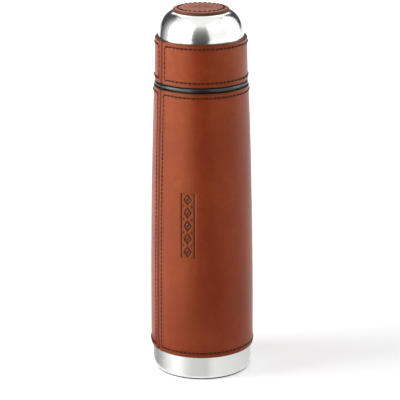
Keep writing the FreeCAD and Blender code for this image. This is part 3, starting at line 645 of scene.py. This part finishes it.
def bodyLeather(leather):
    lowCorner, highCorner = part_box("body_sleeve")
    low, high = lowCorner.z, highCorner.z
    base = max(highCorner.x, -lowCorner.x)
    curveEnd = high - wrapWork["straight"] * mm
    top = radiusNear("body_sleeve", curveEnd)
    centre = (top ** 2 + (curveEnd - low) ** 2 - base ** 2) / (2 * (top - base))
    thickness = top - radiusNear("outer_shell", curveEnd) - wrapWork["glue"] * mm

    def outerAt(z):
        # a long arc, upright at the bottom, that ends in a short straight neck
        rise = np.minimum(z, curveEnd) - low
        return centre + np.sqrt((base - centre) ** 2 - rise ** 2)

    def innerAt(z):
        return outerAt(z) - thickness

    middle = math.radians(ornament["turn"])
    reach = (ornament["width"] / 2 + wrapMesh["ornamentSpan"]) * mm / base
    angles = turnSteps(base, wrapMesh["bodyStep"], (middle - reach, middle + reach))
    piece = leatherSleeve("body", outerAt, innerAt, low, high, angles, bodyRows(low, high), True)
    piece.data.materials.append(leather)
    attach(piece, "flask")
    print("body leather,", len(piece.data.polygons), "faces, base to top radius drops",
          round((base - top) / mm, 2))


def cupLeather(leather):
    low, high = (corner.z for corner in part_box("cup_sleeve"))
    glue = wrapWork["glue"] * mm
    base = radiusNear("cup_sleeve", low + 0.6 * mm, 0.3 * mm)
    top = radiusNear("cup_sleeve", high - 0.6 * mm, 0.3 * mm)
    steelLow = radiusNear("cup_shell", low, 0.3 * mm) + glue
    steelHigh = radiusNear("cup_shell", high - 0.8 * mm, 0.5 * mm) + glue

    def outerAt(z):
        return base + (top - base) * (z - low) / (high - low)

    def innerAt(z):
        return steelLow + (steelHigh - steelLow) * (z - low) / (high - low)

    edge, edgeSpan = wrapMesh["edgeRow"] * mm, wrapMesh["edgeSpan"] * mm
    rows = spaced((low, low + edgeSpan, edge), (low + edgeSpan, high - edgeSpan, wrapMesh["cupRow"] * mm),
                  (high - edgeSpan, high, edge))
    piece = leatherSleeve("cup", outerAt, innerAt, low, high, turnSteps(base, wrapMesh["cupStep"]),
                          np.append(rows, high), False)
    piece.data.materials.append(leather)
    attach(piece, "cup")
    print("cup leather,", len(piece.data.polygons), "faces")


# the disc's colours are painted lighter and paler than the wraps', a painted sheen of the light from above
# on its open top face, and it is duller
patchSheenLook = {
    "deep": (0.330, 0.100, 0.070),
    "middle": (0.415, 0.145, 0.102),
    "light": (0.470, 0.170, 0.120),
    "darkMarksAndShadeColour": (0.060, 0.014, 0.007),
    "roughness": (0.50, 0.60),
}

patchWork = {
    "columns": 288,
    "rowStep": 0.26,          # mm
    "edgeStep": 0.1,
    "crown": 0.80,            # mm the middle stands above the frame's disc
    "rimDrop": 0.45,          # mm the rim lies below its top, bent down over the steel
    "bend": 2.4,              # how late the disc starts to bend, from the middle out
    "spread": 0.35,           # mm the cut edge spreads beyond the frame's disc
    "edge": 0.9,
    "hub": 0.3,               # mm radius of the flat left at the middle
    "glue": 0.02,
    "sideShares": (0.7, 0.35, 0.08),    # heights up the cut side
    "sideBulge": (0.05, 0.05, 0.0),     # mm beyond the rim at those heights
    "underStart": 0.1,        # mm in from the rim
    "underRings": 24,
    "channelDepth": 0.30,
    "channelWidth": 0.6,
    "holeDepth": 0.24,
    "holeWidth": 0.5,
    "hemPuff": 0.10,
    "hemPuffPlace": 1.4,
    "hemPuffWidth": 1.0,
    "waviness": 0.05,
    "petals": 8,
    "ringRadius": 10.6,
    "ringWidth": 0.5,
    "petalReach": 8.6,
    "heartRadius": 1.1,
    "soft": 0.3,
    "depth": 0.26,
}

# how much each mark darkens the disc: channel and holes are painted shade in the stitch channel and needle
# holes, rim is the dark colour of the cut rim with painted shadow along it, under is painted shade on the
# side and underside, pressed darkens the pressed rosette
patchShade = {
    "channel": 0.30,
    "holes": 0.5,
    "pressed": 0.42,
    "rim": 0.95,
    "rimWidth": 0.70,         # mm
    "under": 0.95,
}


def patchMask(radius, turn):
    # a plain rosette inside a ring
    work = patchWork
    soft = work["soft"] * mm
    ring = 1 - step(np.abs(radius - work["ringRadius"] * mm), work["ringWidth"] * mm / 2, soft)
    leaf = np.abs(np.cos(turn * work["petals"] / 2)) ** 0.8
    share = radius / (work["petalReach"] * mm)
    edge = leaf * np.clip(1.35 - share, 0, 1) * 1.5 - 0.35
    petal = step(edge, 0.1, 0.25) * step(share, 0.2, 0.1) * (1 - step(share, 1.0, 0.08))
    heart = 1 - step(radius, work["heartRadius"] * mm, soft)
    return np.clip(ring + petal + heart, 0, 1)


def domeFall(radius):
    # how far the steel dome has fallen below its flat top at this radius
    points = nodePoints("cup_shell")
    reach = np.round(np.hypot(points[:, 0], points[:, 1]), 5)
    rings = np.array([r for r in np.unique(reach) if r > 1 * mm])
    tops = np.array([points[reach == r, 2].max() for r in rings])
    crest = tops.max()
    outside = tops > crest - 3 * mm
    return crest - np.interp(radius, rings[outside], tops[outside])


def patchFace(angles, radii, rim, high):
    # heights of the disc's upper face, and how dark it is
    work, dark = patchWork, patchShade
    stitches = stitchGroups("patch_stitching", 0.0)
    rowRadius = float(np.mean([math.hypot(m[0], m[1]) for m, _, _ in stitches]))
    turn, radius = np.meshgrid(angles, radii, indexing="ij")
    fromRim = rim - radius
    channel = bump(radius - rowRadius, work["channelWidth"] * mm)
    holeWidth = work["holeWidth"] * mm
    holeGap = gapTo(turn * rowRadius, holeMarks(stitches, 0.0))
    holes = bump(radius - rowRadius, holeWidth) * bump(holeGap, holeWidth)
    pressed = patchMask(radius, turn)
    offset = -work["channelDepth"] * channel - work["holeDepth"] * holes - work["depth"] * pressed
    offset += work["hemPuff"] * bump(fromRim - work["hemPuffPlace"] * mm, work["hemPuffWidth"] * mm)
    offset += work["waviness"] * np.sin(turn * 5 + radius * 300) * (radius / rim)
    offset += work["crown"] - (work["crown"] + work["rimDrop"]) * (radius / rim) ** work["bend"]
    edge = work["edge"] * mm
    rounding = np.clip(1 - fromRim / edge, 0, 1)
    top = high + offset * mm - edge * (1 - np.sqrt(np.clip(1 - rounding ** 2, 0, 1)))
    # painted shade in the stitch channel and needle holes and painted shadow along the rim, with the dark
    # cut rim and the darker pressed rosette
    shade = dark["channel"] * channel + dark["holes"] * holes + dark["pressed"] * pressed
    shade += dark["rim"] * bump(fromRim, dark["rimWidth"] * mm)
    return radius, top, shade


def patchLeather(leather):
    work = patchWork
    lowCorner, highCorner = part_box("cup_patch")
    rim = highCorner.x + work["spread"] * mm
    hub, edge = work["hub"] * mm, work["edge"] * mm
    angles = np.linspace(0, math.tau, work["columns"], endpoint=False)
    radii = spaced((hub, rim - edge, work["rowStep"] * mm), (rim - edge, rim, work["edgeStep"] * mm))
    radii = np.append(radii, rim)
    radius, top, shade = patchFace(angles, radii, rim, highCorner.z)
    # the side comes down to the steel, and the underside follows the dome back to the middle
    seat = lowCorner.z + work["glue"] * mm
    underRadii = np.linspace(rim - work["underStart"] * mm, hub, work["underRings"])
    underHeights = seat - domeFall(underRadii)
    foot = seat - float(domeFall(rim))
    sideHeights = foot + np.array(work["sideShares"]) * (top[:, -1:] - foot)
    sideRadii = np.repeat(rim + np.array([work["sideBulge"]]) * mm, len(angles), axis=0)
    loopR = np.concatenate([radius, sideRadii, np.repeat(underRadii[None, :], len(angles), axis=0)], axis=1)
    loopZ = np.concatenate([top, sideHeights, np.repeat(underHeights[None, :], len(angles), axis=0)], axis=1)
    world = angles[:, None]
    points = np.stack([loopR * np.cos(world), loopR * np.sin(world), loopZ], axis=-1)
    count, across = loopR.shape
    faces = gridFaces(count, across, True, False).tolist()
    topMiddle = [i * across for i in range(count)][::-1]
    underMiddle = [i * across + across - 1 for i in range(count)]
    piece = makePiece("patchLeather", points.reshape(-1, 3), faces + [topMiddle, underMiddle])
    # the side and the underside are painted darker as shade
    under = np.full((count, across - len(radii)), patchShade["under"])
    paint(piece, "darkMarksAndShade", np.concatenate([shade, under], axis=1))
    piece.data.materials.append(leather)
    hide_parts("cup_patch")
    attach(piece, "cup")
    print("patch leather,", len(piece.data.polygons), "faces")


# stitching

threadWork = {
    "radius": 0.40,           # mm, over both plies
    "waist": 0.26,            # how far the two plies pinch in between them
    "twist": 1.35,            # turns of the plies in one stitch
    "taper": 0.25,            # how much thinner the thread is where it goes in
    "reach": 0.96,            # of the frame's stitch length
    "rise": 0.24,             # mm, how far the middle of the thread lies above the leather
    "dive": 0.95,             # mm, how far its ends go in
    "arch": 2.6,              # how late it starts to go in, from the middle out
    "rings": 15,
    "sides": 14,
    "proudOfLeather": 0.40,   # mm, where the frame has the thread's middle
}


def threadRow(name, node, body, places, flatTop, thread):
    work = threadWork
    rings, sides = work["rings"], work["sides"]
    s = np.linspace(-1, 1, rings)[:, None]
    theta = np.linspace(0, math.tau, sides, endpoint=False)[None, :]
    plies = 1 - work["waist"] * (0.5 - 0.5 * np.cos(2 * (theta - work["twist"] * math.pi * s)))
    taper = 1 - work["taper"] * np.abs(s) ** 4
    ringRadius = work["radius"] * mm * plies * taper
    rise = (work["rise"] - work["proudOfLeather"]) * mm - work["dive"] * mm * np.abs(s) ** work["arch"]
    allPoints, allFaces = [], []
    for index, (middle, direction, half) in enumerate(places):
        outward = np.array([0, 0, 1.0]) if flatTop else np.array([middle[0], middle[1], 0.0])
        outward /= np.linalg.norm(outward)
        lie = direction - outward * (direction @ outward)
        lie /= np.linalg.norm(lie)
        side = np.cross(lie, outward)
        alongPath = lie * (half * work["reach"] * s[:, 0])[:, None]
        centre = middle + alongPath + outward * rise
        heading = np.gradient(centre, axis=0)
        heading /= np.linalg.norm(heading, axis=1)[:, None]
        up = np.cross(side, heading)
        loop = centre[:, None, :] + ringRadius[..., None] * (
            np.cos(theta)[..., None] * up[:, None, :] + np.sin(theta)[..., None] * side)
        first = index * rings * sides
        allPoints.append(loop.reshape(-1, 3))
        allFaces += gridFaces(rings, sides, False, True, first).tolist()
        allFaces.append([first + j for j in range(sides)][::-1])
        allFaces.append([first + (rings - 1) * sides + j for j in range(sides)])
    piece = makePiece(name, np.concatenate(allPoints), allFaces, 60)
    piece.data.materials.append(thread)
    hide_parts(node)
    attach(piece, body)


def stitching(thread):
    for wrap, body in (("body", "flask"), ("cup", "cup")):
        for hem in ("bottom", "top"):
            node = f"{wrap}_{hem}_stitching"
            places = stitchGroups(node, seamAngle)
            threadRow(f"{wrap}{hem.title()}Thread", node, body, places, False, thread)
        for side in ("left", "right"):
            node = f"{wrap}_seam_stitching_{side}"
            threadRow(f"{wrap}Seam{side.title()}Thread", node, body, stitchGroups(node), False, thread)
    places = stitchGroups("patch_stitching", 0.0)
    threadRow("patchThread", "patch_stitching", "cup", places, True, thread)
    print("stitching done")


# spring under the button

def buttonSpring():
    # the frame's spring again, as a piece of its own that goes with the stopper
    piece = bpy.data.objects.new("buttonSpring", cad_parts["button_spring"].data.copy())
    bpy.context.scene.collection.objects.link(piece)
    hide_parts("button_spring")
    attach(piece, "stopper")
    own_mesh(piece)


# studio

studio = {
    "cameraPlace": (0.0, -1.1288, 0.4666),
    "pitch": 17.19,           # degrees the camera looks down
    "roll": 0.195,
    "lens": 157.26,           # mm
    "sensor": 36,
    "shift": -0.0043,
    "aimHeight": 0.13,        # where the lights point
    "surround": 0.06,
}

floorLook = {
    "size": 16,
    "white": 0.88,
    "roughness": 0.7,
    # the lamps fall off with distance, so the floor glows more the further it is from the flask
    "glow": (0.37, 1.0),
    "glowReach": (0.25, 1.3),
    "backdropRadius": 8,
}


def light(azimuth, height, size, distance, watts):
    # azimuth is counted from the camera's side, and lengths are in metres
    return {"azimuth": azimuth, "height": height, "size": size, "distance": distance, "watts": watts}


boxes = {
    "leftBox": light(-80, 0.55, (0.60, 0.95), 1.1, 13.5),
    "rightBox": light(98, 0.50, (0.60, 0.90), 1.2, 3.6),
    "topBox": light(0, 1.5, (1.5, 3.0), 0.3, 15.0),
}

# white boards that only shiny surfaces see
boards = {
    "leftBoard": light(-46, 0.60, (0.80, 1.05), 1.1, 9.5),
    "rightBoard": light(57, 0.60, (1.60, 1.05), 1.1, 5.9),
    "leftRoof": light(-75, 1.25, (2.0, 0.75), 0.95, 5.0),
    "rightRoof": light(75, 1.25, (2.0, 0.75), 0.95, 5.0),
    "backBoard": light(180, 1.20, (1.10, 0.90), 1.2, 5.5),
    "rightBackBoard": light(117, 0.75, (0.90, 1.30), 1.2, 4.2),
}

# cards that only shiny surfaces see; tones run from the near or bottom edge, or from the left edge across
cards = {
    "standingCard": {"size": (0.60, 1.06), "place": (-0.03, -0.75, 0.53), "tilt": 90,
                     "tones": (0.03, 0.09, 0.21, 0.48, 1.00)},
    "lyingCard": {"size": (0.26, 0.60), "place": (0.035, -0.43, 0.003), "tones": (0.03, 0.03)},
    "leftCard": {"size": (0.50, 0.75), "place": (-0.53, 0.28, 0.47), "tilt": 90, "turn": -118,
                 "tones": (0.04, 0.10, 0.30, 0.70, 1.00), "across": True},
    # this one gives the leather the long soft highlight beside its seam
    "gleamCard": {"size": (0.44, 0.92), "place": (-0.414, -0.347, 0.002), "turn": 130,
                  "tones": (0.28, 0.72, 1.00), "strength": 5.6},
}

# a low collar of card round the steel foot, in metres, with its brightness at each angle from the lens
footCard = {
    "radius": 0.038,
    "low": 0.0005,
    "high": 0.021,
    "steps": 180,
    "strength": 2.0,
    "tones": {-170: 0.85, -103: 0.60, -77: 0.42, -64: 0.60, -55: 0.88, -40: 1.25, -33: 1.28, -27: 1.13,
              -21: 0.92, -13: 0.76, 6: 0.73, 11: 0.88, 17: 0.97, 41: 0.90, 82: 0.78, 135: 0.70, 160: 1.05},
}


def softBox(name, azimuth, height, size, distance, watts):
    data = bpy.data.lights.new(name, "AREA")
    data.shape = "RECTANGLE"
    data.size, data.size_y = size
    data.energy = watts
    lamp = bpy.data.objects.new(name, data)
    angle = math.radians(azimuth)
    lamp.location = (distance * math.sin(angle), -distance * math.cos(angle), height)
    overhead = height > distance * 2
    target = Vector((0, 0, studio["aimHeight"]))
    aim = Vector((0, 0, -1)) if overhead else target - lamp.location
    lamp.rotation_euler = aim.to_track_quat("-Z", "Y").to_euler()
    lamp.visible_camera = False
    bpy.context.scene.collection.objects.link(lamp)
    return lamp


def glowing(name):
    # a black material that glows white until its colour is changed
    material, shader = newMaterial(name)
    shader.inputs["Base Color"].default_value = (0, 0, 0, 1)
    shader.inputs["Emission Color"].default_value = (1, 1, 1, 1)
    shader.inputs["Emission Strength"].default_value = 1.0
    return material, shader


def paleFloor():
    bpy.ops.mesh.primitive_plane_add(size=floorLook["size"], location=(0, 0, 0))
    floor = bpy.context.object
    floor.name = "floor"
    material, shader = newMaterial("paleFloor")
    shader.inputs["Base Color"].default_value = (*[floorLook["white"]] * 3, 1)
    shader.inputs["Roughness"].default_value = floorLook["roughness"]
    shader.inputs["Emission Color"].default_value = (1, 1, 1, 1)
    coordinates = addNode(material, "ShaderNodeTexCoord")
    away = addNode(material, "ShaderNodeVectorMath", operation="LENGTH")
    join(material, coordinates.outputs["Object"], away.inputs[0])
    glow = spread(material, away.outputs["Value"], *floorLook["glow"], *floorLook["glowReach"])
    join(material, glow, shader.inputs["Emission Strength"])
    floor.data.materials.append(material)


def paleBackdrop():
    # only the camera sees the backdrop, so the steel still reflects the dim studio
    bpy.ops.mesh.primitive_uv_sphere_add(radius=floorLook["backdropRadius"], segments=48, ring_count=24)
    backdrop = bpy.context.object
    backdrop.name = "backdrop"
    backdrop.data.materials.append(glowing("paleBackdrop")[0])
    backdrop.visible_diffuse = False
    backdrop.visible_glossy = False
    backdrop.visible_transmission = False
    backdrop.visible_shadow = False


def forShineOnly(piece):
    # only shiny surfaces see it
    piece.visible_camera = False
    piece.visible_diffuse = False
    piece.visible_shadow = False
    piece.visible_transmission = False


def cardMaterial(name, tones, across, strength):
    material, shader = glowing(name)
    coordinates = addNode(material, "ShaderNodeTexCoord")
    split = addNode(material, "ShaderNodeSeparateXYZ")
    join(material, coordinates.outputs["Generated"], split.inputs["Vector"])
    stops = [(index / (len(tones) - 1), (tone,) * 3) for index, tone in enumerate(tones)]
    along = split.outputs["X" if across else "Y"]
    join(material, ramp(material, along, *stops), shader.inputs["Emission Color"])
    shader.inputs["Emission Strength"].default_value = strength
    shader.inputs["Specular IOR Level"].default_value = 0.0
    return material


def greyCard(name, size, place, tones, tilt=0, turn=0, across=False, strength=1.0):
    bpy.ops.mesh.primitive_plane_add(size=1)
    plane = bpy.context.object
    plane.name = name
    plane.scale = (*size, 1)
    plane.rotation_euler = (math.radians(tilt), 0, math.radians(turn))
    plane.location = place
    plane.data.materials.append(cardMaterial(name, tones, across, strength))
    forShineOnly(plane)


def footCollar():
    steps = footCard["steps"]
    azimuths = np.linspace(-180, 180, steps, endpoint=False)
    around = np.radians(azimuths)
    ring = np.stack([np.sin(around), -np.cos(around), np.zeros(steps)], axis=-1) * footCard["radius"]
    low = ring + [0, 0, footCard["low"]]
    high = ring + [0, 0, footCard["high"]]
    points = np.stack([low, high], axis=1).reshape(-1, 3)
    collar = makePiece("footCollar", points, gridFaces(steps, 2, True, False))
    marks, tones = list(footCard["tones"]), list(footCard["tones"].values())
    # a painted value stops at 1, so the tones are painted low and the glow makes it up
    shades = np.interp(azimuths, marks, tones, period=360) / footCard["strength"]
    paint(collar, "tone", np.repeat(shades, 2))
    material, shader = glowing("collarCard")
    tone = addNode(material, "ShaderNodeAttribute", attribute_name="tone")
    join(material, tone.outputs["Fac"], shader.inputs["Emission Color"])
    shader.inputs["Emission Strength"].default_value = footCard["strength"]
    shader.inputs["Specular IOR Level"].default_value = 0.0
    collar.data.materials.append(material)
    forShineOnly(collar)


def camera():
    data = bpy.data.cameras.new("camera")
    data.lens = studio["lens"]
    data.sensor_width = studio["sensor"]
    data.shift_x = studio["shift"]
    data.clip_start = 0.05
    data.clip_end = 50
    view = bpy.data.objects.new("camera", data)
    view.location = studio["cameraPlace"]
    tilt = Matrix.Rotation(math.pi / 2 - math.radians(studio["pitch"]), 3, "X")
    roll = Matrix.Rotation(-math.radians(studio["roll"]), 3, "Z")
    view.rotation_euler = (tilt @ roll).to_euler()
    bpy.context.scene.collection.objects.link(view)
    bpy.context.scene.camera = view


def buildStudio():
    scene = bpy.context.scene
    world = bpy.data.worlds.new("studio")
    scene.world = world
    world.use_nodes = True
    world.node_tree.nodes["Background"].inputs["Color"].default_value = (*[studio["surround"]] * 3, 1)
    scene.view_settings.view_transform = "Standard"
    for name, settings in boxes.items():
        softBox(name, **settings)
    for name, settings in boards.items():
        softBox(name, **settings).visible_diffuse = False
    paleFloor()
    paleBackdrop()
    for name, settings in cards.items():
        greyCard(name, **settings)
    footCollar()
    camera()
    print("studio ready")


finishNodes()
leather = leatherMaterial("saddleLeather")
bodyLeather(leather)
cupLeather(leather)
patchLeather(leatherMaterial("patchSheenLeather", **patchSheenLook))
stitching(threadMaterial())
buttonSpring()
buildStudio()
